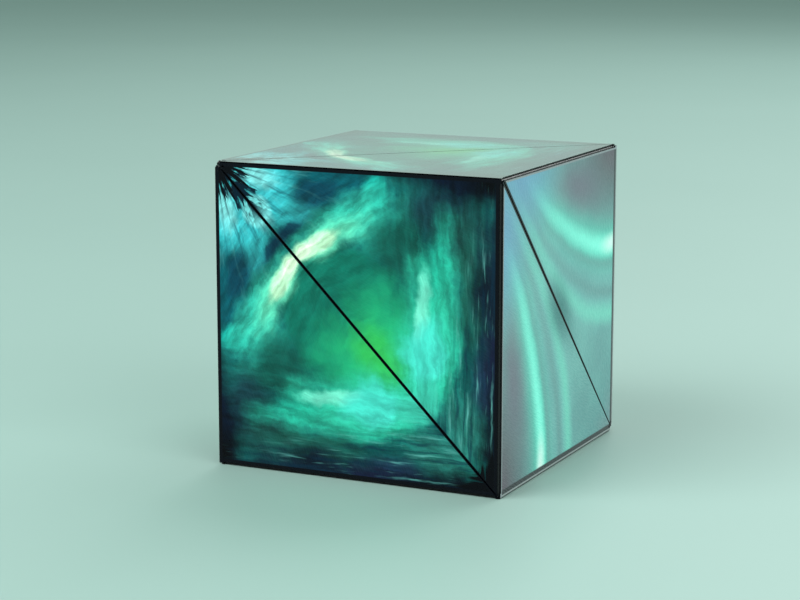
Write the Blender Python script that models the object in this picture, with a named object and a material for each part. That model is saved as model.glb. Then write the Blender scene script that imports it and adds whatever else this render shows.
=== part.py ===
"""Shape-shifting magnetic cube: a closed ring of twelve hinged tetrahedral segments.

Each segment is half of the pyramid that stands on one face of the cube with its tip at the
cube's centre. Its corners are the centre O, the corner N where three face seams meet, N's
neighbour P along a cube edge, and Q, the corner across the face from N. The outer face N P Q
has its right angle at P. Segments join in turn across the cube edge P Q and across the inner
line O N, each time with a strip of film that folds.

Metres, +Z up, origin at the middle of the bottom face.
"""
import itertools
import math

import bmesh
import bpy
from mathutils import Matrix, Vector

MM = 0.001
SIDE = 57.0 * MM              # edge of the closed cube
HALF = SIDE / 2
SEAM = 0.3 * MM               # gap between neighbouring segments

SKIN = 0.25 * MM              # printed wrap round each segment
OUTER_FILM = 0.30 * MM        # depth of the hinge film under an outer face
INNER_FILM = 0.45 * MM        # depth of the hinge film under an inner face
FILM = 0.20 * MM              # thickness of the hinge film
EDGE_TRIM = 1.25 * MM         # wrap cut back from the hinge edge P Q
SPINE_TRIM = 1.20 * MM        # wrap cut back from the hinge edge O N
LEAF = 6.0 * MM               # width of one leaf of a hinge film
LEAF_END = 1.3 * MM           # leaf kept back from the edges beside it
LEAF_SEAM = 1.6 * MM          # and from the seam across the face

LID_TOP = 0.55 * MM           # depth of the lid's top under the outer face
LID = 1.2 * MM                # lid thickness
RIM = LID_TOP + LID + 0.05 * MM
SHELL_OUT = 0.70 * MM         # depth of the shell's skin under an inner face
WALL = 1.2 * MM
LIP_GAP = 0.12 * MM
LIP = 0.9 * MM
LIP_DEPTH = 1.5 * MM

MAGNET_R = 4.0 * MM
MAGNET = 2.0 * MM
MAGNET_DEPTH = 1.20 * MM      # depth of the magnet's outer end under an inner face
POCKET_R = 4.15 * MM
POCKET_FLOOR = 1.10 * MM
BOSS_R = 5.4 * MM
BOSS_TOP = MAGNET_DEPTH + MAGNET
ARM_R = 0.5 * MM              # web that holds a segment's three magnets together
HUB_R = 0.8 * MM
ROUND = 16                    # sides of a round boss, pocket or magnet
SAME = 0.0002 * MM            # points this close are one point

BLACK = (0.012, 0.012, 0.014)
DARK_GREY = (0.055, 0.057, 0.062)
NICKEL = (0.62, 0.62, 0.60)
PRINT_A = (0.02, 0.20, 0.19)
PRINT_B = (0.05, 0.10, 0.16)

CORNER_N = HALF * Vector((-1, -1, 1))
CORNER_P = HALF * Vector((1, -1, 1))
CORNER_Q = HALF * Vector((1, -1, -1))


def half_turn(direction):
    return Matrix.Rotation(math.pi, 4, direction)


def mirror_across(normal):
    return Matrix.Scale(-1, 4, normal.normalized())


ACROSS_EDGE = half_turn(CORNER_P + CORNER_Q)
ACROSS_SPINE = mirror_across(CORNER_N.cross(CORNER_Q))
STAND = Matrix.Translation((0, 0, HALF))


def inner_normal(a, b, inside):
    """Normal of the plane through the centre and two corners, pointing to the inside point."""
    normal = a.cross(b).normalized()
    return normal if normal.dot(inside) > 0 else -normal


OUT = (Vector((0, 1, 0)), -HALF)                              # (normal, offset) of each face
SIDE_P = (inner_normal(CORNER_N, CORNER_P, CORNER_Q), 0.0)    # face O N P
SIDE_Q = (inner_normal(CORNER_N, CORNER_Q, CORNER_P), 0.0)    # face O N Q
SIDE_E = (inner_normal(CORNER_P, CORNER_Q, CORNER_N), 0.0)    # face O P Q
NEXT_OUT = (Vector((-1, 0, 0)), -HALF)                        # outer face across the edge P Q


def at_least(face, depth):
    """Half-space at least that deep below a face, as (normal, offset)."""
    return face[0], face[1] + depth


def at_most(face, depth):
    return -face[0], -(face[1] + depth)


def trimmed(face_a, face_b, point, distance):
    """Half-space that cuts back the edge between two faces, square to their bisector."""
    bisector = (face_a[0] + face_b[0]).normalized()
    return bisector, bisector.dot(point) + distance


def inset(outer, inner):
    """The segment's tetrahedron, shrunk by one depth at its outer face and one at the others."""
    return [at_least(OUT, outer)] + [at_least(face, inner) for face in (SIDE_P, SIDE_Q, SIDE_E)]


def region(half_spaces):
    """Convex solid common to some half-spaces, as a bmesh."""
    corners = []
    for trio in itertools.combinations(half_spaces, 3):
        rows = Matrix([plane[0] for plane in trio])
        if abs(rows.determinant()) < 1e-6:
            continue
        point = rows.inverted() @ Vector([plane[1] for plane in trio])
        if all(normal.dot(point) >= offset - SAME for normal, offset in half_spaces):
            if all((point - other).length > SAME for other in corners):
                corners.append(point)
    mesh = bmesh.new()
    for point in corners:
        mesh.verts.new(point)
    bmesh.ops.convex_hull(mesh, input=mesh.verts)
    bmesh.ops.dissolve_limit(mesh, angle_limit=math.radians(0.5), verts=mesh.verts, edges=mesh.edges)
    bmesh.ops.recalc_face_normals(mesh, faces=mesh.faces)
    return mesh


def rod(start, end, radius, sides=ROUND):
    """Cylinder between two points, as a bmesh."""
    along = end - start
    turn = along.to_track_quat("Z", "X").to_matrix().to_4x4()
    place = Matrix.Translation((start + end) / 2) @ turn
    mesh = bmesh.new()
    bmesh.ops.create_cone(mesh, cap_ends=True, segments=sides, radius1=radius, radius2=radius,
                          depth=along.length, matrix=place)
    return mesh


def as_object(mesh, name):
    data = bpy.data.meshes.new(name)
    mesh.to_mesh(data)
    mesh.free()
    obj = bpy.data.objects.new(name, data)
    cutters.objects.link(obj)
    obj.hide_render = True
    obj.display_type = "WIRE"
    return obj


def combined(name, base, steps):
    """One mesh made from a base bmesh and a list of ("UNION" or "DIFFERENCE", bmesh) steps."""
    work = as_object(base, name)
    helpers = []
    for count, (operation, other) in enumerate(steps):
        helper = as_object(other, f"{name}_step_{count}")
        modifier = work.modifiers.new(f"step_{count}", "BOOLEAN")
        modifier.operation = operation
        modifier.object = helper
        helpers.append(helper)
    bpy.context.view_layer.update()
    graph = bpy.context.evaluated_depsgraph_get()
    made = bpy.data.meshes.new_from_object(work.evaluated_get(graph))
    made.name = name
    for obj in [work, *helpers]:
        bpy.data.objects.remove(obj)
    return made


def inner_seats():
    """Middle of the inscribed circle of each inner face, with that face's inward normal."""
    seats = []
    for face, a, b in ((SIDE_P, CORNER_N, CORNER_P), (SIDE_Q, CORNER_N, CORNER_Q),
                       (SIDE_E, CORNER_P, CORNER_Q)):
        far_a, far_b, base = a.length, b.length, (a - b).length
        middle = (a * far_b + b * far_a) / (far_a + far_b + base)
        seats.append((middle, face[0]))
    return seats


def wrap_mesh():
    """Printed sleeve round a segment, open along its two hinge edges."""
    skin = inset(0, SEAM / 2)
    skin.append(trimmed(OUT, SIDE_E, CORNER_P, EDGE_TRIM))
    skin.append(trimmed(SIDE_P, SIDE_Q, CORNER_N, SPINE_TRIM))
    return combined("wrap", region(skin), [("DIFFERENCE", region(inset(SKIN, SEAM / 2 + SKIN)))])


def shell_mesh():
    """Three-sided cup, open at the outer face, with a boss and a magnet pocket in each wall."""
    steps = [("DIFFERENCE", region(inset(-WALL, SHELL_OUT + WALL)))]
    for middle, normal in inner_seats():
        foot = middle + normal * (SHELL_OUT + WALL / 2)
        steps.append(("UNION", rod(foot, middle + normal * BOSS_TOP, BOSS_R)))
    for middle, normal in inner_seats():
        floor = middle + normal * POCKET_FLOOR
        steps.append(("DIFFERENCE", rod(floor, middle + normal * (BOSS_TOP + WALL), POCKET_R)))
    return combined("shell", region(inset(RIM, SHELL_OUT)), steps)


def lid_mesh():
    """Plate that closes the cup, with a lip that drops inside its rim."""
    plate = inset(LID_TOP, SHELL_OUT) + [at_most(OUT, LID_TOP + LID)]
    lip_out = SHELL_OUT + WALL + LIP_GAP
    lip = inset(LID_TOP + LID / 2, lip_out) + [at_most(OUT, RIM + LIP_DEPTH)]
    bore = inset(LID_TOP + LID, lip_out + LIP)
    return combined("lid", region(plate), [("UNION", region(lip)), ("DIFFERENCE", region(bore))])


def magnets_mesh():
    """Three disc magnets, held together by a thin web."""
    ends = [(middle + normal * MAGNET_DEPTH, middle + normal * BOSS_TOP, normal)
            for middle, normal in inner_seats()]
    hub = sum((top + normal * 3 * MM for _, top, normal in ends), Vector()) / len(ends)
    ball = bmesh.new()
    bmesh.ops.create_icosphere(ball, subdivisions=1, radius=HUB_R,
                               matrix=Matrix.Translation(hub))
    steps = [("UNION", rod(top - normal * MAGNET / 2, hub, ARM_R, 6)) for _, top, normal in ends]
    steps += [("UNION", rod(bottom, top, MAGNET_R)) for bottom, top, _ in ends]
    return combined("magnets", ball, steps)


def edge_leaf():
    """Leaf of film under the outer face, from the fold at the edge P Q inwards."""
    return region([at_least(OUT, OUTER_FILM), at_most(OUT, OUTER_FILM + FILM),
                   at_least(NEXT_OUT, OUTER_FILM), at_most(NEXT_OUT, LEAF),
                   at_least(SIDE_P, LEAF_END), at_least(SIDE_Q, LEAF_SEAM)])


def spine_leaf(to_fold):
    """Leaf of film under the face O N P, from the fold near the line O N outwards."""
    away = SIDE_P[0].cross(CORNER_N).normalized()
    strip = (away if away.dot(CORNER_P) > 0 else -away, 0.0)
    return region([at_least(SIDE_P, INNER_FILM), at_most(SIDE_P, INNER_FILM + FILM),
                   at_least(SIDE_Q, to_fold), at_most(strip, LEAF),
                   at_least(OUT, LEAF_END), at_least(SIDE_E, LEAF_END)])


def moved(mesh, matrix):
    mesh.transform(matrix)
    if matrix.determinant() < 0:
        bmesh.ops.reverse_faces(mesh, faces=mesh.faces)
    return mesh


def edge_hinge_mesh():
    return combined("edge_hinge", edge_leaf(), [("UNION", moved(edge_leaf(), ACROSS_EDGE))])


def spine_hinge_mesh():
    overlap = -FILM / 4
    other = moved(spine_leaf(overlap), ACROSS_SPINE)
    return combined("spine_hinge", spine_leaf(overlap), [("UNION", other)])


def open_leaf_mesh():
    """The one leaf of film at the place where the ring is opened, short of its fold."""
    return combined("open_leaf", spine_leaf(SEAM / 2), [])


def mirrored(mesh):
    """Copy of a mesh for the left-handed segments."""
    shape = bmesh.new()
    shape.from_mesh(mesh)
    moved(shape, ACROSS_SPINE)
    copy = bpy.data.meshes.new(mesh.name + "_left")
    shape.to_mesh(copy)
    shape.free()
    return copy


def material(name, colour, roughness, metallic=0.0, coat=0.0):
    made = bpy.data.materials.new(name)
    made.use_nodes = True
    shader = made.node_tree.nodes["Principled BSDF"]
    shader.inputs["Base Color"].default_value = (*colour, 1)
    shader.inputs["Roughness"].default_value = roughness
    shader.inputs["Metallic"].default_value = metallic
    shader.inputs["Coat Weight"].default_value = coat
    made.diffuse_color = (*colour, 1)
    return made


def add(name, mesh, place, pivot, finish):
    """One named piece at its place in the closed cube, carried by the pivot of its segment."""
    if not mesh.materials:
        mesh.materials.append(finish)
    obj = bpy.data.objects.new(name, mesh)
    parts.objects.link(obj)
    obj.parent = pivot
    obj.matrix_parent_inverse = pivot.matrix_world.inverted()
    obj.matrix_world = place
    return obj


def ring_places():
    """Where the canonical segment goes for each of the twelve, in ring order from the root."""
    first_of_ring = 9         # steps from the canonical segment to the root, on the bottom face
    steps = [ACROSS_EDGE, ACROSS_SPINE]
    place = Matrix.Identity(4)
    places = []
    for count in range(12):
        places.append(place.copy())
        place = place @ steps[count % 2]
    return [places[(first_of_ring + count) % 12] for count in range(12)]


def hinge_points():
    """Middle of the fold of the edge hinge and of the spine hinge, in the canonical segment."""
    edge_fold = OUTER_FILM + FILM / 2
    edge = (CORNER_P + CORNER_Q) / 2 + Vector((-edge_fold, edge_fold, 0))
    towards_q = (CORNER_Q - CORNER_Q.project(CORNER_N)).normalized()
    spine_fold = (INNER_FILM + FILM / 2) / math.sin(math.radians(60))
    return edge, CORNER_N / 2 + towards_q * spine_fold


def segment_before(number):
    """The segment that carries this one. The ring is open between segments 7 and 8."""
    if number == 1:
        return None
    return number - 1 if number <= 7 else number % 12 + 1


def hinge_number(number, before):
    """Hinge n joins segment n to the next one round the ring; odd ones run along a spine O N."""
    return 12 if {number, before} == {1, 12} else min(number, before)


def add_pivot(number, places, pivots):
    """Empty on the axis of the hinge that carries a segment."""
    before = segment_before(number)
    pivot = bpy.data.objects.new(f"pivot_{number:02d}", None)
    pivot.empty_display_size = 5 * MM
    parts.objects.link(pivot)
    if before:
        hinge = hinge_number(number, before)
        edge_point, spine_point = hinge_points()
        point = places[hinge - 1] @ (spine_point if hinge % 2 else edge_point)
        pivot.parent = pivots[before]
        pivot.matrix_parent_inverse = pivots[before].matrix_world.inverted()
        pivot.matrix_world = Matrix.Translation(STAND @ point)
    bpy.context.view_layer.update()
    pivots[number] = pivot


def film_kind(number):
    if number == 7:
        return "open_leaf"
    return "spine_hinge" if number % 2 else "edge_hinge"


def build():
    right = {"shell": shell_mesh(), "lid": lid_mesh(), "wrap": wrap_mesh(),
             "magnets": magnets_mesh(), "edge_hinge": edge_hinge_mesh(),
             "spine_hinge": spine_hinge_mesh(), "open_leaf": open_leaf_mesh()}
    left = {name: mirrored(mesh) for name, mesh in right.items()}
    shell = material("shell_plastic", BLACK, 0.45)
    lid = material("lid_plastic", DARK_GREY, 0.5)
    magnet = material("magnet_nickel", NICKEL, 0.25, metallic=1.0)
    film = material("hinge_film", BLACK, 0.35)
    prints = {False: material("printed_film_a", PRINT_A, 0.2, coat=1.0),
              True: material("printed_film_b", PRINT_B, 0.2, coat=1.0)}

    places = ring_places()
    pivots = {}
    for number in [1, 2, 3, 4, 5, 6, 7, 12, 11, 10, 9, 8]:
        add_pivot(number, places, pivots)
        place = places[number - 1]
        left_handed = place.determinant() < 0
        shapes = left if left_handed else right
        turn = STAND @ (place @ ACROSS_SPINE if left_handed else place)
        pivot = pivots[number]
        add(f"shell_{number:02d}", shapes["shell"], turn, pivot, shell)
        add(f"lid_{number:02d}", shapes["lid"], turn, pivot, lid)
        add(f"magnets_{number:02d}", shapes["magnets"], turn, pivot, magnet)
        add(f"wrap_{number:02d}", shapes["wrap"], turn, pivot, prints[left_handed])
        add(f"hinge_film_{number:02d}", shapes[film_kind(number)], turn, pivot, film)


for old in list(bpy.data.objects):
    bpy.data.objects.remove(old)
parts = bpy.data.collections.new("shape_shifting_cube")
cutters = bpy.data.collections.new("cutters")
for collection in (parts, cutters):
    bpy.context.scene.collection.children.link(collection)
build()
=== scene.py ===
"""Looks of the shape-shifting magnetic cube: printed wraps, folding films, magnets and mouldings.

The cube is a ring of twelve tetrahedral segments. A segment's corners are the centre O, the corner
N where three seams meet, N's neighbour P and the corner Q across the face. Every piece is modelled
once, on segment 04, and turned or mirrored from there to its place in the ring.
"""

import itertools
import math

import bmesh
import bpy
from mathutils import Matrix, Vector


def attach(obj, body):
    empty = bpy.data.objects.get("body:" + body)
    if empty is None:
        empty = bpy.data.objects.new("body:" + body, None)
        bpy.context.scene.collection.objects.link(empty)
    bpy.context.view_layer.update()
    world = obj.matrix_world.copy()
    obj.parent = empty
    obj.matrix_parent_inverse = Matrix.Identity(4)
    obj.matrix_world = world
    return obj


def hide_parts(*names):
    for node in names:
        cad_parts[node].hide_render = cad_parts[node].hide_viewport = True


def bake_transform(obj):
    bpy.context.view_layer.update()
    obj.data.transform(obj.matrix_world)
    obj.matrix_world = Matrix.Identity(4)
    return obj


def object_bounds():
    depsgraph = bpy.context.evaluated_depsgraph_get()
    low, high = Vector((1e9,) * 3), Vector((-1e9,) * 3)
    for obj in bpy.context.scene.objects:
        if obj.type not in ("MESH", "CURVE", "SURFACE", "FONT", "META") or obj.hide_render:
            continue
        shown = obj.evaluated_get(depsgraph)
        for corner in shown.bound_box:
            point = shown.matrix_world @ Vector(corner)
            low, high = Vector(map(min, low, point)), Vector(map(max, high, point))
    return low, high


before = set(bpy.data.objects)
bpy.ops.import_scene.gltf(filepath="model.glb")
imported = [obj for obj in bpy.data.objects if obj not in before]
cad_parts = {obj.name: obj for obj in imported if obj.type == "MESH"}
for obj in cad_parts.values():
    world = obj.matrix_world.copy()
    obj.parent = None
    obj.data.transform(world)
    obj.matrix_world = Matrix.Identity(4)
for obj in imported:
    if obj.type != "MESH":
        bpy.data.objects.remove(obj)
CAD_LOW, CAD_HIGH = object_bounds()

MM = 0.001
SIDE = CAD_HIGH.x - CAD_LOW.x
HALF = SIDE / 2
CORNER_N = HALF * Vector((-1, -1, 1))
CORNER_P = HALF * Vector((1, -1, 1))
CORNER_Q = HALF * Vector((1, -1, -1))
CENTRE = Vector((0, 0, 0))

SKIN = 0.25 * MM              # printed film
SEAM = 0.3 * MM
EDGE_BARE = 0.60 * MM         # hinge film left bare beside a cube edge
TAB_BARE = 0.30 * MM          # the same within a tab's length of the cube's corners
TAB = 1.0 * MM
SPINE_BARE = 0.80 * MM        # hinge film left bare beside an inner hinge
CORNER_CUT = 0.85 * MM        # corners N and S are cut square to the cube's long diagonal
ROUNDING = 0.07 * MM
SAME = 0.0002 * MM            # points this close are one

OVERCUT = 1.0 * MM            # how far a cutter reaches past what it cuts
BARE_DEPTH = 2.0 * MM
BEHIND_SKIN = SKIN + 0.01 * MM
EDGE_SLOT = (0.58 * MM, 1.35 * MM)     # depth, and reach from the hinge, of a slot for a leaf
SPINE_SLOT = (0.74 * MM, 1.25 * MM)
SLOT_END = 1.35 * MM          # along the spine, from corner N
HOLLOW_END = 1.9 * MM

OUTER_FILM = 0.40 * MM        # depth of the middle of the hinge film under an outer face
INNER_FILM = 0.55 * MM
FILM = 0.18 * MM              # thickness of the hinge film
FOLD_RADIUS = 0.30 * MM
FOLD_STEPS = 4                # rows of points on each half of the bend
LEAF_STEPS = [0.25, 0.45, 0.6, 0.95, 2.15, 3.65, 5.15]     # mm beyond the bend
FILM_ROWS = 24
HALF_SPLIT = 0.02 * MM        # half of the gap between the leaves of a split film
COVERED_FROM = 0.85 * MM      # from the fold, along the film, to where a wrap covers it
BARE_END = 0.22 * MM          # more than its own depth, between the bare film and a corner
COVERED_END = 1.35 * MM
SPINE_START = 2.4 * MM        # from the centre O to the film of an inner hinge
SPINE_END = 1.4 * MM
SPINE_COVERED_END = 0.4 * MM  # more where a wrap covers it
BLEND_REACH = 0.42 * MM

MAGNET_RADIUS = 4.0 * MM
MAGNET_DEPTH = 1.2 * MM       # from the inner face to the magnet
MAGNET_THICK = 2.0 * MM
MAGNET_RIM = 0.25 * MM


# Geometry of a segment

def inner_normal(a, b, inside):
    normal = a.cross(b).normalized()
    return normal if normal.dot(inside) > 0 else -normal


OUT = (Vector((0, 1, 0)), -HALF)                              # (normal, offset) of each face
NEXT_OUT = (Vector((-1, 0, 0)), -HALF)                        # outer face across the edge P Q
SIDE_P = (inner_normal(CORNER_N, CORNER_P, CORNER_Q), 0.0)    # face O N P
SIDE_Q = (inner_normal(CORNER_N, CORNER_Q, CORNER_P), 0.0)    # face O N Q
SIDE_E = (inner_normal(CORNER_P, CORNER_Q, CORNER_N), 0.0)    # face O P Q
P_END = (Vector((0, 0, -1)), -HALF)                           # square to the edge P Q, at P
Q_END = (Vector((0, 0, 1)), -HALF)
LONG = (-CORNER_N.normalized(), -CORNER_N.length)             # plane square to O N, at N
ALONG_SPINE = CORNER_N.normalized()
FROM_SPINE = (CORNER_P - CORNER_P.project(CORNER_N)).normalized()
STRIP = (FROM_SPINE, 0.0)                                     # distance from O N in face O N P

TOWARDS_Q = (CORNER_Q - CORNER_Q.project(CORNER_N)).normalized()
SPINE_PIVOT = 0.635 * MM      # from O N to the fold, in face O N Q
HALF_FOLD = math.radians(35)  # more than half of the widest spine fold
FOLD_CLEAR = (math.sin(HALF_FOLD) * TOWARDS_Q + math.cos(HALF_FOLD) * SIDE_Q[0],
              SPINE_PIVOT * math.sin(HALF_FOLD))

ACROSS_EDGE = Matrix.Rotation(math.pi, 4, CORNER_P + CORNER_Q)
ACROSS_SPINE = Matrix.Scale(-1, 4, CORNER_N.cross(CORNER_Q).normalized())
STAND = Matrix.Translation((0, 0, CAD_LOW.z + HALF))


SEGMENTS = 12
MODELLED = 4                  # number of the segment that pieces are modelled on


def ring_places():
    """Where the modelled segment goes for each number, stepping over one hinge at a time."""
    place, places = Matrix.Identity(4), []
    for count in range(SEGMENTS):
        places.append(STAND @ place)
        place = place @ (ACROSS_SPINE if count % 2 else ACROSS_EDGE)
    return {number: places[(number - MODELLED) % SEGMENTS] for number in range(1, SEGMENTS + 1)}


PLACES = ring_places()


def at_least(face, depth):
    return face[0], face[1] + depth


def at_most(face, depth):
    return -face[0], -(face[1] + depth)


def between(face, low, high):
    return [at_least(face, low), at_most(face, high)]


def past(*faces):
    """Half-spaces that reach past these faces, for the open sides of a cutter."""
    return [at_least(face, -OVERCUT) for face in faces]


def inset(outer, inner):
    """Segment with its outer face and its inner faces moved in by these depths."""
    return [at_least(OUT, outer)] + [at_least(face, inner) for face in (SIDE_P, SIDE_Q, SIDE_E)]


def region(half_spaces):
    """Convex solid common to some half-spaces, as a bmesh."""
    parallel = 1e-6
    corners = []
    for trio in itertools.combinations(half_spaces, 3):
        rows = Matrix([plane[0] for plane in trio])
        if abs(rows.determinant()) < parallel:
            continue
        point = rows.inverted() @ Vector([plane[1] for plane in trio])
        if all(normal.dot(point) >= offset - SAME for normal, offset in half_spaces):
            if all((point - other).length > SAME for other in corners):
                corners.append(point)
    mesh = bmesh.new()
    for point in corners:
        mesh.verts.new(point)
    bmesh.ops.convex_hull(mesh, input=mesh.verts)
    bmesh.ops.dissolve_limit(mesh, angle_limit=math.radians(0.5), verts=mesh.verts,
                             edges=mesh.edges)
    bmesh.ops.recalc_face_normals(mesh, faces=mesh.faces)
    return mesh


def as_object(mesh, name):
    data = bpy.data.meshes.new(name)
    mesh.to_mesh(data)
    mesh.free()
    obj = bpy.data.objects.new(name, data)
    bpy.context.scene.collection.objects.link(obj)
    return obj


def evaluated_mesh(obj):
    bpy.context.view_layer.update()
    graph = bpy.context.evaluated_depsgraph_get()
    return bpy.data.meshes.new_from_object(obj.evaluated_get(graph))


def cut(name, base, cutters, rounding=0.0):
    """One mesh: a bmesh with others cut from it and its edges rounded."""
    work = as_object(base, name)
    helpers = [as_object(cutter, f"{name}_cutter_{count}") for count, cutter in enumerate(cutters)]
    for helper in helpers:
        modifier = work.modifiers.new(helper.name, "BOOLEAN")
        modifier.operation = "DIFFERENCE"
        modifier.object = helper
    if rounding:
        bevel = work.modifiers.new("rounding", "BEVEL")
        bevel.width = rounding
        bevel.segments = 2
        bevel.limit_method = "ANGLE"
        bevel.angle_limit = math.radians(20)
        bevel.use_clamp_overlap = True
    made = evaluated_mesh(work)
    for obj in [work, *helpers]:
        bpy.data.objects.remove(obj)
    return made


def placed(name, mesh, number, materials):
    """An object with a copy of the modelled segment's mesh, moved to its place in the ring."""
    shape = bmesh.new()
    shape.from_mesh(mesh)
    place = PLACES[number]
    shape.transform(place)
    if place.determinant() < 0:
        bmesh.ops.reverse_faces(shape, faces=shape.faces)
    obj = as_object(shape, name)
    for finish in materials:
        obj.data.materials.append(finish)
    return obj


# Printed wraps

MOSTLY_FACING = 0.8           # cosine between a polygon and the face that it is taken for
APART = (3, 2)                # cube sides between one face's print and the next


def wrap_mesh():
    """Sleeve of printed film round a segment, open along its two hinge edges."""
    skin = inset(0, SEAM / 2)
    skin += [at_least(NEXT_OUT, TAB_BARE), at_least(LONG, CORNER_CUT), FOLD_CLEAR]
    bare_edge = between(OUT, -OVERCUT, BARE_DEPTH) + between(NEXT_OUT, -OVERCUT, EDGE_BARE)
    bare_edge += [at_least(P_END, TAB), at_least(Q_END, TAB)]
    edge_slot = between(OUT, BEHIND_SKIN, EDGE_SLOT[0]) + between(NEXT_OUT, 0, EDGE_SLOT[1])
    edge_slot += past(SIDE_P, SIDE_Q)
    spine_slot = between(SIDE_P, SEAM / 2 + BEHIND_SKIN, SPINE_SLOT[0])
    spine_slot += between(STRIP, 0, SPINE_SLOT[1])
    spine_slot += past(OUT, SIDE_E) + [at_least(LONG, SLOT_END)]
    spine_gap = [at_least(OUT, BEHIND_SKIN), at_most(STRIP, SPINE_BARE)]
    spine_gap += past(STRIP, SIDE_P, SIDE_Q, SIDE_E) + [at_least(LONG, SLOT_END)]
    hollow = inset(SKIN, SEAM / 2 + SKIN) + [at_least(LONG, HOLLOW_END)]
    cutters = [region(shape) for shape in (bare_edge, hollow, edge_slot, spine_slot, spine_gap)]
    return cut("wrap", region(skin), cutters, ROUNDING)


def map_print(mesh):
    """Gives each printed face its coordinates in cube sides, and its distances to its edges in mm.

    Material 0 is the outer face, 1 the inner faces, and 2 the bare film of cut edges and insides.
    """
    faces = [(OUT, CORNER_N, CORNER_P, CORNER_Q), (SIDE_P, CENTRE, CORNER_N, CORNER_P),
             (SIDE_Q, CENTRE, CORNER_N, CORNER_Q), (SIDE_E, CENTRE, CORNER_P, CORNER_Q)]
    mesh.attributes.new("edge_mm", "FLOAT_VECTOR", "CORNER")
    mesh.uv_layers.new(name="print")
    sheet, edges = mesh.uv_layers["print"], mesh.attributes["edge_mm"]
    for polygon in mesh.polygons:
        outward = [-polygon.normal.dot(face[0][0]) for face in faces]
        best = max(range(len(faces)), key=lambda count: outward[count])
        (normal, offset), a, b, c = faces[best]
        depth = normal.dot(polygon.center) - offset - (SEAM / 2 if best else 0)
        printed = outward[best] >= MOSTLY_FACING and depth < SKIN / 2
        polygon.material_index = min(best, 1) if printed else 2
        across = (b - a).normalized()
        up = ((c - b) - (c - b).project(across)).normalized()
        for loop in polygon.loop_indices:
            point = mesh.vertices[mesh.loops[loop].vertex_index].co
            u = (point - a).dot(across) / SIDE + APART[0] * best
            v = (point - a).dot(up) / SIDE + APART[1] * best
            sheet.data[loop].uv = (u, v)
            edges.data[loop].vector = [distance_to_line(point, *pair) / MM
                                       for pair in ((a, b), (b, c), (c, a))]


def distance_to_line(point, a, b):
    along = (b - a).normalized()
    return ((point - a) - (point - a).dot(along) * along).length


# Folding films

CENTRE_ANGLE = math.radians(70.5)      # of the inner face O N P at O
N_ANGLE = math.radians(54.7)           # and at N


def fold_shape(number):
    """Whether a hinge lies on a cube edge, how far each leaf turns there, and the fold's depth."""
    if number % 2 == 0:
        return True, math.radians(45), OUTER_FILM
    return False, math.radians(30), INNER_FILM


def fold_film(name, number, side=0):
    """Strip of film over a hinge, as a grid that follows its bent cross-section.

    side is 0 for the whole strip, and 1 or -1 for one leaf of it, up to the fold.
    """
    turn = FOLD_RADIUS * fold_shape(number)[1]
    half = [turn * step / FOLD_STEPS for step in range(1, FOLD_STEPS + 1)]
    half += [turn + beyond * MM for beyond in LEAF_STEPS]
    stations = [-s for s in reversed(half)] + [0.0] + half
    if side:
        stations = [s for s in stations if s * side >= HALF_SPLIT]
    shape = bmesh.new()
    top, bottom = [[film_line(shape, s, number, lift) for s in stations]
                   for lift in (FILM / 2, -FILM / 2)]
    close_grid(shape, top, bottom)
    data = bpy.data.meshes.new(name)
    shape.to_mesh(data)
    shape.free()
    film = placed(name, data, number, [HINGE_FILM])
    bpy.data.meshes.remove(data)
    return film


def film_line(shape, s, number, lift):
    """New points along the film at arc length s from the fold, lifted off its middle."""
    start, end, lateral, normal = film_section(s, number)
    return [shape.verts.new(start.lerp(end, row / FILM_ROWS) + lateral + normal * lift)
            for row in range(FILM_ROWS + 1)]


def close_grid(shape, top, bottom):
    """Faces of a thin sheet between two grids of points."""
    last, rows = len(top) - 1, len(top[0]) - 1
    for i in range(last):
        for j in range(rows):
            shape.faces.new((top[i][j], top[i][j + 1], top[i + 1][j + 1], top[i + 1][j]))
            shape.faces.new((bottom[i][j], bottom[i + 1][j],
                             bottom[i + 1][j + 1], bottom[i][j + 1]))
        for j in (0, rows):
            shape.faces.new((top[i][j], top[i + 1][j], bottom[i + 1][j], bottom[i][j]))
    for i in (0, last):
        for j in range(rows):
            shape.faces.new((top[i][j], bottom[i][j], bottom[i][j + 1], top[i][j + 1]))
    bmesh.ops.recalc_face_normals(shape, faces=shape.faces)


def film_section(s, number):
    """Ends of the film's line at arc length s from the fold, its shift and its normal there."""
    at_edge, bend, depth = fold_shape(number)
    side, far = (1 if s >= 0 else -1), abs(s)
    from_fold = far + FOLD_RADIUS * (math.tan(bend) - bend)
    if at_edge:
        fold = (CORNER_P + CORNER_Q) / 2 + Vector((-depth, depth, 0))
        bisector = Vector((1, -1, 0)).normalized()
        leaf = Vector((-1, 0, 0)) if side > 0 else Vector((0, 1, 0))
        start, end = edge_film_ends(side, far, from_fold)
    else:
        fold = TOWARDS_Q * depth / math.cos(bend)
        bisector = -TOWARDS_Q
        leaf = FROM_SPINE if side > 0 else ACROSS_SPINE.to_3x3() @ FROM_SPINE
        start, end = spine_film_ends(far)
    if far < FOLD_RADIUS * bend:
        angle = far / FOLD_RADIUS
        across = (leaf - leaf.project(bisector)).normalized()
        normal = bisector * math.cos(angle) + across * math.sin(angle)
        lateral = fold - bisector * FOLD_RADIUS / math.cos(bend) + normal * FOLD_RADIUS
    else:
        normal = (bisector - bisector.project(leaf)).normalized()
        lateral = fold + leaf * from_fold
    return start, end, lateral, normal


def edge_film_ends(side, far, from_fold):
    """Ends on a cube edge: square at the leaf's corner P, and mitred at its acute corner Q."""
    covered = far > COVERED_FROM
    square = COVERED_END if covered else OUTER_FILM + BARE_END
    mitred = square + (far if covered else max(0, from_fold))
    low, high = (mitred, square) if side > 0 else (square, mitred)
    return Vector((0, 0, low - HALF)), Vector((0, 0, HALF - high))


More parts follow.
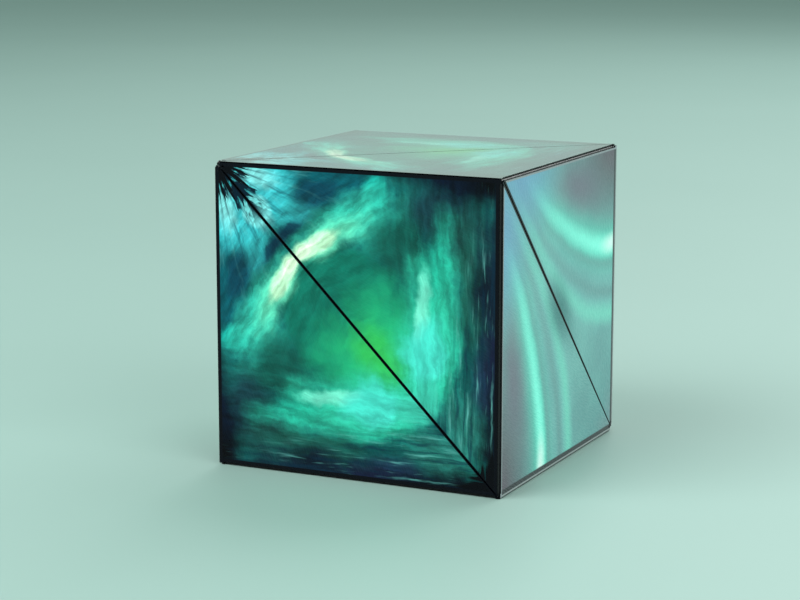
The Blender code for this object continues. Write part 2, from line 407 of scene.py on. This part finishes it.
def spine_film_ends(far):
    """Ends on an inner hinge, sloped to follow the inner face that the leaf lies in."""
    at_centre = SPINE_START + far / math.tan(CENTRE_ANGLE)
    at_n = SPINE_END + far / math.tan(N_ANGLE)
    if far > COVERED_FROM:
        at_n += SPINE_COVERED_END
    return ALONG_SPINE * at_centre, ALONG_SPINE * (CORNER_N.length - at_n)


def blend_points(number):
    """Points on the two leaves between which the film bends, in the row frame."""
    spots = []
    for s in (BLEND_REACH, -BLEND_REACH):
        start, end, lateral, _ = film_section(s, number)
        spots.append(PLACES[number] @ ((start + end) / 2 + lateral))
    return spots


# Magnets

def inner_seats():
    """Middle of the inscribed circle of each inner face, with that face's inward normal."""
    seats = []
    for face, a, b in ((SIDE_P, CORNER_N, CORNER_P), (SIDE_Q, CORNER_N, CORNER_Q),
                       (SIDE_E, CORNER_P, CORNER_Q)):
        middle = (a * b.length + b * a.length) / (a.length + b.length + (a - b).length)
        seats.append((middle, face[0]))
    return seats


def magnets_mesh():
    """Three disc magnets with rounded rims."""
    shape = bmesh.new()
    for middle, normal in inner_seats():
        turn = normal.to_track_quat("Z", "X").to_matrix().to_4x4()
        place = Matrix.Translation(middle + normal * (MAGNET_DEPTH + MAGNET_THICK / 2)) @ turn
        bmesh.ops.create_cone(shape, cap_ends=True, segments=48, radius1=MAGNET_RADIUS,
                              radius2=MAGNET_RADIUS, depth=MAGNET_THICK, matrix=place)
    rims = [edge for edge in shape.edges if any(len(face.verts) > 4 for face in edge.link_faces)]
    bmesh.ops.bevel(shape, geom=rims, offset=MAGNET_RIM, segments=3, profile=0.5, affect="EDGES")
    bmesh.ops.recalc_face_normals(shape, faces=shape.faces)
    data = bpy.data.meshes.new("magnets")
    shape.to_mesh(data)
    shape.free()
    return data


# Materials

def linear(level):
    """The sRGB curve, from a display level of 0 to 255 to linear light."""
    share = level / 255
    return share / 12.92 if share < 0.0404 else ((share + 0.055) / 1.055) ** 2.4


def colour(red, green, blue):
    """Linear colour of a display colour."""
    return linear(red), linear(green), linear(blue), 1


# Black of the printed ink, also used for the painted shade in the opened seam on the aurora faces.
INK_AND_SHADE_BLACK = colour(5, 7, 14)
NAVY = colour(10, 24, 52)
VIOLET = colour(34, 26, 66)
DEEP_TEAL = colour(6, 74, 84)
TEAL = colour(18, 140, 132)
BRIGHT_TEAL = colour(36, 196, 172)
PALE = colour(214, 246, 214)


class Graph:
    """Short calls that add nodes to a material."""

    def __init__(self, name):
        self.material = bpy.data.materials.new(name)
        self.material.use_nodes = True
        self.tree = self.material.node_tree
        self.shader = self.tree.nodes["Principled BSDF"]

    def add(self, kind, inputs, **settings):
        node = self.tree.nodes.new(kind)
        for key, value in settings.items():
            setattr(node, key, value)
        for key, value in inputs.items():
            self.put(node.inputs[key], value)
        return node

    def put(self, socket, value):
        if isinstance(value, bpy.types.NodeSocket):
            self.tree.links.new(value, socket)
        else:
            socket.default_value = value

    def math(self, operation, a, b=0.0, c=0.0):
        return self.add("ShaderNodeMath", {0: a, 1: b, 2: c}, operation=operation).outputs[0]

    def smooth(self, value, low, high, start=0.0, end=1.0):
        return self.add("ShaderNodeMapRange", {"Value": value, "From Min": low, "From Max": high,
                                               "To Min": start, "To Max": end},
                        interpolation_type="SMOOTHSTEP").outputs[0]

    def mix(self, factor, a, b):
        return self.add("ShaderNodeMix", {0: factor, 6: a, 7: b}, data_type="RGBA").outputs[2]

    def noise(self, where, scale, detail=5.0, roughness=0.55, distortion=0.0, colour_out=False):
        node = self.add("ShaderNodeTexNoise", {"Vector": where, "Scale": scale, "Detail": detail,
                                               "Roughness": roughness, "Distortion": distortion})
        return node.outputs["Color" if colour_out else "Fac"]

    def shifted(self, where, offset):
        return self.add("ShaderNodeMapping", {"Vector": where, "Location": offset}).outputs[0]

    def split(self, where):
        return self.add("ShaderNodeSeparateXYZ", {0: where}).outputs

    def strokes(self, where, along, across, turn=0.0, detail=3.0):
        """Noise drawn out into strokes at a turn from the first axis."""
        local = self.add("ShaderNodeMapping", {"Vector": where,
                                               "Rotation": (0, 0, math.radians(turn)),
                                               "Scale": (1 / along, 1 / across, 1)},
                         vector_type="TEXTURE").outputs[0]
        return self.noise(local, 1.0, detail, roughness=0.62)

    def blob(self, where, centre, radii, turn=0.0):
        """1 at a centre, falling smoothly to 0 at the rim of an ellipse."""
        local = self.add("ShaderNodeMapping", {"Vector": where, "Location": (*centre, 0),
                                               "Rotation": (0, 0, math.radians(turn)),
                                               "Scale": (*radii, 1)}, vector_type="TEXTURE")
        far = self.add("ShaderNodeVectorMath", {0: local.outputs[0]}, operation="LENGTH")
        return self.smooth(far.outputs["Value"], 0.0, 1.0, 1.0, 0.0)

    def bump(self, height, strength, distance):
        node = self.add("ShaderNodeBump", {"Height": height, "Strength": strength,
                                           "Distance": distance})
        self.put(self.shader.inputs["Normal"], node.outputs[0])

    def set(self, **values):
        for key, value in values.items():
            self.put(self.shader.inputs[key.replace("_", " ")], value)
        return self.material


def face_coordinates(graph):
    """The print's coordinates, in cube sides, flattened to the plane."""
    return graph.add("ShaderNodeUVMap", {}, uv_map="print").outputs[0]


def warped(graph, where, amount, scale):
    """Coordinates pushed about by noise, for torn cloud edges."""
    push = graph.noise(where, scale, detail=6.0, roughness=0.6, colour_out=True)
    centred = graph.add("ShaderNodeVectorMath", {0: push, 1: (0.5, 0.5, 0.5)},
                        operation="SUBTRACT").outputs[0]
    sized = graph.add("ShaderNodeVectorMath", {0: centred, 1: (amount, amount, 0)},
                      operation="MULTIPLY").outputs[0]
    return graph.add("ShaderNodeVectorMath", {0: where, 1: sized}, operation="ADD").outputs[0]


def edge_distances(graph):
    """Distances in mm to the face's edges N P, P Q and Q N."""
    edge = graph.add("ShaderNodeAttribute", {}, attribute_name="edge_mm")
    return graph.split(edge.outputs["Vector"])


def ink_border(graph, tint, side=0.85, fold=0.60, seam=0.16):
    """The print with black borders of these widths, in mm, on edges N P, P Q and Q N."""
    apart = edge_distances(graph)
    trims = (0, EDGE_BARE / MM, SEAM / 2 / MM)
    blurs = (0.08, 0.08, 0.05)
    shown = [graph.smooth(apart[edge], trims[edge] + width - blurs[edge],
                          trims[edge] + width + blurs[edge])
             for edge, width in enumerate((side, fold, seam))]
    clear = graph.math("MULTIPLY", graph.math("MULTIPLY", shown[0], shown[1]), shown[2])
    return graph.mix(clear, INK_AND_SHADE_BLACK, tint)


def gloss(graph, where, tint, coat=0.25, level=0.12):
    """The laminate over the print: clear coat, faint waviness and slight scuffs."""
    ripple = graph.noise(where, 7.0, detail=1.0)
    scuff = graph.strokes(where, 30, 220, 25, detail=2.0)
    graph.put(graph.shader.inputs["Roughness"], graph.smooth(scuff, 0.3, 0.8, 0.26, 0.30))
    graph.bump(ripple, 0.25, 0.4 * MM)
    return graph.set(Base_Color=tint, Specular_IOR_Level=level, Coat_Weight=coat,
                     Coat_Roughness=0.03, Coat_IOR=1.45)


STORM = [
    # centre in cube sides along and across edge N P, radii, turn in degrees, colour, strength,
    # and how ragged and how soft its edge is
    ((0.42, 0.04), (0.40, 0.17), 4, (10, 84, 94), 1.0, 0.4, 0.8),
    ((0.80, 0.12), (0.24, 0.18), 10, (24, 62, 70), 1.0, 0.7, 0.8),
    ((0.86, 0.22), (0.16, 0.16), 0, (34, 84, 80), 0.8, 0.8, 0.8),
    ((0.84, -0.02), (0.46, 0.17), 4, (8, 22, 40), 1.0, 0.8, 0.7),
    ((0.15, 0.08), (0.28, 0.21), 20, (64, 180, 188), 1.0, 0.4, 0.8),
    ((0.14, 0.04), (0.14, 0.08), 12, (150, 228, 228), 0.8, 0.9, 0.8),
    ((0.17, 0.15), (0.12, 0.05), 38, (150, 226, 224), 0.6, 1.0, 0.7),
    ((0.30, 0.14), (0.16, 0.08), -25, (58, 168, 172), 0.9, 0.6, 0.8),
    ((0.36, 0.08), (0.15, 0.08), -22, (12, 66, 84), 0.9, 0.9, 0.6),
    ((0.57, 0.07), (0.07, 0.11), -20, (34, 174, 160), 0.8, 1.0, 0.7),
    ((0.47, 0.17), (0.34, 0.15), -26, (60, 184, 164), 1.0, 1.0, 1.0),
    ((0.26, 0.205), (0.14, 0.035), -36, (8, 44, 68), 0.9, 0.9, 0.8),
    ((0.50, 0.385), (0.38, 0.22), 26, (18, 110, 94), 1.0, 0.7, 0.45),
    ((0.66, 0.24), (0.17, 0.17), 30, (20, 88, 78), 0.9, 0.8, 0.7),
    ((0.41, 0.222), (0.23, 0.095), -25, (104, 206, 174), 1.0, 1.0, 0.9),
    ((0.35, 0.248), (0.17, 0.052), -24, (190, 232, 196), 1.0, 1.0, 0.7),
    ((0.31, 0.270), (0.09, 0.026), -36, (226, 246, 216), 0.9, 1.0, 0.7),
    ((0.64, 0.54), (0.36, 0.30), 45, (40, 170, 120), 1.0, 0.6, 0.9),
    ((0.59, 0.59), (0.24, 0.16), 45, (60, 184, 88), 0.8, 0.6, 0.9),
    ((0.76, 0.50), (0.19, 0.46), 4, (54, 184, 156), 1.0, 0.8, 0.8),
    ((0.79, 0.26), (0.09, 0.24), 10, (40, 172, 146), 0.8, 1.0, 1.0),
    ((0.735, 0.41), (0.045, 0.20), 8, (136, 232, 208), 0.7, 1.0, 0.7),
    ((0.74, 0.57), (0.13, 0.19), 8, (80, 208, 194), 0.8, 0.9, 0.7),
    ((0.75, 0.72), (0.08, 0.12), -10, (72, 196, 174), 0.8, 0.9, 0.7),
    ((0.92, 0.38), (0.12, 0.44), 0, (30, 90, 80), 0.9, 1.0, 0.7),
    ((1.02, 0.45), (0.20, 0.90), 0, (18, 36, 52), 1.0, 0.7, 0.7),
    ((0.94, 0.62), (0.10, 0.24), 0, (38, 38, 78), 0.6, 1.0, 0.8),
    ((0.87, 0.80), (0.13, 0.20), 0, (46, 116, 108), 0.8, 0.9, 0.8),
    ((1.05, 0.82), (0.20, 0.50), 0, (5, 14, 26), 1.0, 0.7, 0.7),
    ((1.02, -0.02), (0.24, 0.20), 0, (3, 4, 9), 1.0, 0.7, 0.8),
]


def storm_clouds(graph, bent):
    """The painted clouds of STORM, each torn by the same noise."""
    clouds = graph.noise(bent, 6.0, detail=9.0, roughness=0.60)
    tint = graph.mix(graph.smooth(clouds, 0.35, 0.65), colour(16, 84, 84), colour(32, 128, 116))
    for centre, radii, turn, paint, strength, ragged, soft in STORM:
        shape = graph.blob(bent, centre, radii, turn)
        torn = graph.math("MULTIPLY_ADD", clouds, ragged * 1.6, -0.8 * ragged)
        edge = graph.smooth(graph.math("ADD", shape, torn), 0.12, 0.12 + soft, 0.0, strength)
        inside = graph.math("MULTIPLY", edge, graph.smooth(shape, 0.0, 0.14))
        tint = graph.mix(inside, tint, colour(*paint))
    return tint


def storm_strokes(graph, tint, where, bent):
    """Lighter and darker strokes, slanted near N and upright near Q, faint round the glow."""
    slanted = graph.strokes(bent, 7, 24, -30, detail=8.0)
    upright = graph.strokes(bent, 6, 28, 86, detail=8.0)
    near_q = graph.smooth(graph.split(where)[0], 0.50, 0.72)
    fine = graph.add("ShaderNodeMix", {"Factor": near_q, "A": slanted, "B": upright})
    calm = graph.blob(where, (0.60, 0.47), (0.42, 0.34), 45)
    depth = graph.math("MULTIPLY_ADD", calm, -0.75, 1.0)
    stroke = graph.smooth(fine.outputs["Result"], 0.30, 0.72, -0.45, 0.45)
    shade = graph.math("MULTIPLY_ADD", stroke, depth, 1.0)
    return graph.add("ShaderNodeVectorMath", {0: tint, "Scale": shade}, operation="SCALE").outputs[0]


def storm_corners(graph, tint, where):
    """Brushed corners N and Q, with dark spikes and a black burst at N and black at Q."""
    a, b = graph.split(where)[:2]
    along, off_seam = graph.math("ADD", a, b), graph.math("SUBTRACT", a, b)
    polar = graph.add("ShaderNodeCombineXYZ", {0: graph.math("ARCTAN2", b, a), 1: along}).outputs[0]
    rays = graph.strokes(polar, 4, 11, 90)
    spread = graph.strokes(polar, 3, 7, 90, detail=2.0)
    jags = graph.strokes(where, 14, 60, 22)
    strands = graph.strokes(warped(graph, where, 0.02, 4.0), 5, 56, 90)
    near_n = graph.smooth(along, 0.70, 0.12)
    near_q = graph.smooth(graph.math("MULTIPLY_ADD", b, 0.25, a), 0.90, 1.06)
    tint = brushed(graph, tint, rays, near_n)
    tint = brushed(graph, tint, strands, near_q)
    beside_seam = graph.smooth(graph.math("MULTIPLY_ADD", jags, -0.24, off_seam), -0.06, -0.09)
    spikes = graph.math("MULTIPLY", graph.smooth(along, 0.42, 0.24), beside_seam)
    tint = graph.mix(spikes, tint, colour(6, 34, 48))
    burst_n = graph.math("MULTIPLY_ADD", spread, -0.52, along)
    burst_q = graph.math("MULTIPLY_ADD", strands, 0.30, along)
    tint = graph.mix(graph.smooth(burst_n, -0.120, -0.140), tint, INK_AND_SHADE_BLACK)
    tint = graph.mix(graph.smooth(along, 0.095, 0.080), tint, INK_AND_SHADE_BLACK)
    return graph.mix(graph.smooth(burst_q, 1.98, 2.02), tint, INK_AND_SHADE_BLACK)


def storm_print(name="print_storm", painted_glare=0.0, coat=0.10, level=0.05, fold=0.60, seam=0.16):
    """Torn clouds round a green glow, mirrored across each seam, with brushed corners.

    painted_glare is how far the print is mixed toward a pale painted reflection of the backdrop, and
    fold and seam are its borders' widths in mm.
    """
    graph = Graph(name)
    where = face_coordinates(graph)
    bent = warped(graph, warped(graph, where, 0.08, 4.5), 0.03, 16.0)
    tint = storm_clouds(graph, bent)
    tint = storm_strokes(graph, tint, where, bent)
    tint = storm_corners(graph, tint, where)
    deeper = graph.add("ShaderNodeGamma", {"Color": tint, "Gamma": 1.10}).outputs[0]
    inked = ink_border(graph, deeper, fold=fold, seam=seam)
    # Mixed toward a pale painted reflection of the backdrop, used on the top faces.
    return gloss(graph, where, graph.mix(painted_glare, inked, colour(190, 206, 200)), coat, level)


def brushed(graph, tint, fur, mask):
    """Light and dark brush strokes over a tint."""
    dark = graph.math("MULTIPLY", graph.smooth(fur, 0.50, 0.34), mask)
    light = graph.math("MULTIPLY", graph.smooth(fur, 0.54, 0.76), mask)
    shaded = graph.mix(graph.math("MULTIPLY", dark, 0.65), tint, colour(10, 44, 62))
    return graph.mix(graph.math("MULTIPLY", light, 0.36), shaded, colour(140, 228, 222))


AURORA_BANDS = [
    # start on edge N P, bend towards Q, half width, colour, strength
    (0.47, 0.62, 0.16, (120, 190, 186), 0.6),
    (0.665, 0.50, 0.13, (90, 214, 192), 0.9),
    (0.50, 0.62, 0.045, (104, 146, 148), 0.7),
    (0.42, 0.66, 0.055, (124, 226, 202), 0.6),
    (0.60, 0.52, 0.035, (104, 150, 150), 0.6),
    (0.665, 0.50, 0.055, (140, 255, 232), 1.0),
]
AURORA_GLOWS = [
    # centre, radii, turn, colour, strength
    ((1.00, 0.00), (0.36, 0.70), 0, (98, 88, 98), 1.0),
    ((0.90, 0.36), (0.12, 0.34), -12, (112, 112, 126), 0.9),
    ((1.02, 0.84), (0.30, 0.40), 0, (112, 158, 188), 1.0),
    ((0.52, 0.50), (0.20, 0.10), 45, (60, 122, 120), 0.9),
    ((0.02, 0.02), (0.20, 0.10), 0, (118, 148, 152), 0.9),
    ((0.67, 0.00), (0.05, 0.18), 0, (232, 255, 250), 0.95),
]


def aurora_light(graph, where, bent):
    """Curved bands of light and soft glows over a haze."""
    a, b = graph.split(bent)[:2]
    soft = graph.noise(where, 2.6, detail=3.0)
    tint = graph.mix(graph.smooth(soft, 0.35, 0.65), colour(104, 158, 158), colour(116, 176, 172))
    square = graph.math("MULTIPLY", b, b)
    for start, curve, width, paint, strength in AURORA_BANDS:
        middle = graph.math("MULTIPLY_ADD", square, curve, start)
        off = graph.math("ABSOLUTE", graph.math("SUBTRACT", a, middle))
        fade = graph.smooth(b, 0.80, 0.05, 0.30, strength)
        band = graph.math("MULTIPLY", graph.smooth(off, width, 0.0), fade)
        tint = graph.mix(band, tint, colour(*paint))
    for centre, radii, turn, paint, strength in AURORA_GLOWS:
        lit = graph.math("MULTIPLY", graph.blob(bent, centre, radii, turn), strength)
        tint = graph.mix(lit, tint, colour(*paint))
    return tint


def aurora_edges(graph, tint, a):
    """Painted light on the edges: on edge N P a grey band (the black border with a painted
    reflection), a pale painted highlight line and a dark line at the very edge; a pale painted
    highlight line on P Q; and a black wedge of painted shade at the seam, widening towards Q.
    """
    apart = edge_distances(graph)
    # Grey band: the black border with a painted reflection; then a pale painted highlight line and a
    # dark line on N P, and a pale painted highlight line on P Q.
    tint = graph.mix(graph.smooth(apart[0], 1.60, 1.35), tint, colour(58, 60, 64))
    tint = graph.mix(graph.smooth(apart[0], 0.66, 0.54), tint, colour(150, 158, 158))
    tint = graph.mix(graph.smooth(apart[0], 0.34, 0.26), tint, colour(66, 70, 72))
    tint = graph.mix(graph.smooth(apart[1], 1.0, 0.85), tint, colour(140, 148, 152))
    # Black wedge of painted shade in the seam, as if the seam opened wider towards Q.
    wedge = graph.math("MULTIPLY_ADD", a, 0.42, SEAM / 2 / MM)
    shadow = graph.math("SUBTRACT", apart[2], wedge)
    return graph.mix(graph.smooth(shadow, 0.06, -0.04), tint, INK_AND_SHADE_BLACK)


def aurora_print():
    """Smooth curtains of light on a grey haze, mirrored across each seam."""
    graph = Graph("print_aurora")
    where = face_coordinates(graph)
    bent = warped(graph, where, 0.05, 2.5)
    tint = aurora_light(graph, where, bent)
    tint = aurora_edges(graph, tint, graph.split(bent)[0])
    return gloss(graph, where, tint)


def inner_print():
    """Darker clouds on the faces that show when the cube opens."""
    graph = Graph("print_inner")
    where = face_coordinates(graph)
    bent = warped(graph, warped(graph, where, 0.18, 3.0), 0.05, 12.0)
    clouds = graph.noise(bent, 3.4, detail=9.0, roughness=0.6)
    glow = graph.noise(graph.shifted(bent, (4.3, 1.7, 0)), 2.3, detail=6.0)
    tint = graph.mix(graph.smooth(clouds, 0.36, 0.56), NAVY, DEEP_TEAL)
    tint = graph.mix(graph.smooth(glow, 0.50, 0.68), tint, VIOLET)
    tint = graph.mix(graph.smooth(clouds, 0.50, 0.66), tint, TEAL)
    tint = graph.mix(graph.smooth(clouds, 0.58, 0.72), tint, BRIGHT_TEAL)
    tint = graph.mix(graph.smooth(clouds, 0.67, 0.80), tint, PALE)
    return gloss(graph, where, ink_border(graph, tint, side=0.9, fold=0.5, seam=0.9))


def object_coordinates(graph):
    return graph.add("ShaderNodeTexCoord", {}).outputs["Object"]


def film_material():
    """Black film: satin, with fine creases across the fold."""
    graph = Graph("hinge_film")
    where = object_coordinates(graph)
    grain = graph.noise(where, 2600.0, detail=3.0)
    crease = graph.noise(where, 500.0, detail=2.0)
    tint = graph.mix(grain, colour(6, 7, 10), colour(20, 22, 26))
    graph.put(graph.shader.inputs["Roughness"], graph.smooth(crease, 0.3, 0.7, 0.22, 0.42))
    graph.bump(crease, 0.3, 0.05 * MM)
    return graph.set(Base_Color=tint, Specular_IOR_Level=0.3)


def cut_film_material():
    """Cut edges and back of the printed film: dark ink under clear plastic."""
    graph = Graph("film_edge")
    where = object_coordinates(graph)
    grain = graph.noise(where, 1800.0, detail=4.0)
    tint = graph.mix(grain, colour(5, 6, 9), colour(16, 18, 22))
    graph.bump(grain, 0.2, 0.03 * MM)
    return graph.set(Base_Color=tint, Roughness=0.4, Specular_IOR_Level=0.2)


def moulding_material(name, dark, light, roughness):
    """Moulded ABS: spark-eroded grain, flow marks and slightly polished high spots."""
    graph = Graph(name)
    where = object_coordinates(graph)
    grain = graph.noise(where, 3500.0, detail=3.0, roughness=0.6)
    flow = graph.noise(where, 60.0, detail=2.0, distortion=1.5)
    tint = graph.mix(graph.smooth(flow, 0.3, 0.7), dark, light)
    graph.put(graph.shader.inputs["Roughness"],
              graph.smooth(grain, 0.3, 0.7, roughness - 0.08, roughness + 0.08))
    graph.bump(grain, 0.35, 0.03 * MM)
    return graph.set(Base_Color=tint)


def nickel_material():
    """Nickel plating with fine turning marks."""
    graph = Graph("magnet_nickel")
    where = object_coordinates(graph)
    marks = graph.noise(where, 1500.0, detail=4.0)
    tint = graph.mix(marks, colour(196, 192, 184), colour(222, 220, 214))
    graph.put(graph.shader.inputs["Roughness"], graph.smooth(marks, 0.3, 0.7, 0.14, 0.28))
    graph.bump(marks, 0.15, 0.02 * MM)
    return graph.set(Base_Color=tint, Metallic=1.0)


HINGE_FILM = film_material()
FILM_EDGE = cut_film_material()
STORM_PRINT = storm_print()
# Top faces: the storm print mixed toward a pale painted reflection of the backdrop.
TOP_PRINT = storm_print("print_storm_top", painted_glare=0.22, coat=1.0, level=0.4, fold=0.0, seam=0.0)
AURORA_PRINT = aurora_print()
INNER_PRINT = inner_print()
SHELL_PLASTIC = moulding_material("shell_plastic", colour(24, 24, 27), colour(34, 34, 38), 0.45)
LID_PLASTIC = moulding_material("lid_plastic", colour(58, 60, 66), colour(72, 74, 80), 0.5)
NICKEL = nickel_material()


# Assembly

TOP_SEGMENTS = (7, 8)
OPEN_HINGE = 7                # where the CAD opens the ring


def build_wraps():
    mesh = wrap_mesh()
    map_print(mesh)
    for number, place in PLACES.items():
        near_n = (place.to_3x3() @ CORNER_N).z > 0
        outer = STORM_PRINT if near_n else AURORA_PRINT
        if number in TOP_SEGMENTS:
            outer = TOP_PRINT
        wrap = placed(f"printed_wrap_{number:02d}", mesh, number, [outer, INNER_PRINT, FILM_EDGE])
        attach(wrap, f"segment_{number:02d}")
        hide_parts(f"wrap_{number:02d}")


def build_films():
    for number in PLACES:
        node = f"hinge_film_{number:02d}"
        here, after = f"segment_{number:02d}", f"segment_{number % SEGMENTS + 1:02d}"
        if number == OPEN_HINGE:
            near = fold_film(f"fold_film_{number:02d}", number, side=1)
            far = fold_film(f"fold_film_{number:02d}_far", number, side=-1)
            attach(near, here)
            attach(far, after)
        else:
            near = fold_film(f"fold_film_{number:02d}", number)
            start, end = blend_points(number)
            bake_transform(near)
        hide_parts(node)


def build_magnets():
    mesh = magnets_mesh()
    for number in PLACES:
        magnets = placed(f"disc_magnets_{number:02d}", mesh, number, [NICKEL])
        magnets.data.shade_smooth()
        magnets.data.set_sharp_from_angle(angle=math.radians(40))
        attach(magnets, f"segment_{number:02d}")
        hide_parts(f"magnets_{number:02d}")


def dress_mouldings():
    for name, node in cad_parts.items():
        finish = {"shell": SHELL_PLASTIC, "lid": LID_PLASTIC}.get(name.split("_")[0])
        if finish:
            node.data.materials.clear()
            node.data.materials.append(finish)


def floor_material():
    graph = Graph("floor")
    where = object_coordinates(graph)
    soft = graph.noise(where, 6.0, detail=3.0)
    tint = graph.mix(soft, colour(132, 158, 151), colour(137, 163, 156))
    return graph.set(Base_Color=tint, Roughness=0.55)


LAMPS = [
    # name, azimuth and elevation in degrees, distance and size in metres, power in watts
    ("key", -35, 42, 0.9, 0.7, 9.5),
    ("fill", 62, 30, 1.0, 0.8, 6.5),
    ("back", 170, 45, 1.1, 0.9, 9.0),
]
CAMERA = Vector((176, -378, 107.2)) * MM      # from the middle of the cube's foot
AIM = Vector((-4.6, 0, 28.3)) * MM
FLOOR_HALF = 14.0             # metres
FLOOR_GAP = 0.02 * MM


def build_floor():
    shape = bmesh.new()
    bmesh.ops.create_grid(shape, x_segments=1, y_segments=1, size=FLOOR_HALF)
    floor = as_object(shape, "floor")
    floor.location.z = CAD_LOW.z - FLOOR_GAP
    floor.data.materials.append(floor_material())


def build_world():
    world = bpy.data.worlds.new("studio")
    world.use_nodes = True
    background = world.node_tree.nodes["Background"]
    background.inputs["Color"].default_value = colour(186, 214, 206)
    background.inputs["Strength"].default_value = 0.75
    bpy.context.scene.world = world


def build_lamps():
    """Large soft lights round the cube, all facing its middle."""
    middle = Vector((0, 0, CAD_LOW.z + HALF))
    for name, azimuth, elevation, distance, size, power in LAMPS:
        light = bpy.data.lights.new(name, "AREA")
        light.size = size
        light.energy = power
        lamp = bpy.data.objects.new(name, light)
        turn, rise = math.radians(azimuth), math.radians(elevation)
        away = Vector((math.sin(turn) * math.cos(rise), -math.cos(turn) * math.cos(rise),
                       math.sin(rise)))
        lamp.location = middle + away * distance
        lamp.rotation_euler = away.to_track_quat("Z", "Y").to_euler()
        bpy.context.scene.collection.objects.link(lamp)


def build_camera():
    """The photographer's view: almost square to the front, a little from the right and above."""
    camera_data = bpy.data.cameras.new("camera")
    camera_data.lens = 100.2
    camera_data.sensor_width = 36
    camera = bpy.data.objects.new("camera", camera_data)
    camera.location = CAMERA + Vector((0, 0, CAD_LOW.z))
    camera.rotation_euler = (CAMERA - AIM).to_track_quat("Z", "Y").to_euler()
    bpy.context.scene.collection.objects.link(camera)
    bpy.context.scene.camera = camera


bpy.context.scene.view_settings.view_transform = "Standard"
build_camera()
build_wraps()
build_films()
build_magnets()
dress_mouldings()
build_floor()
build_world()
build_lamps()
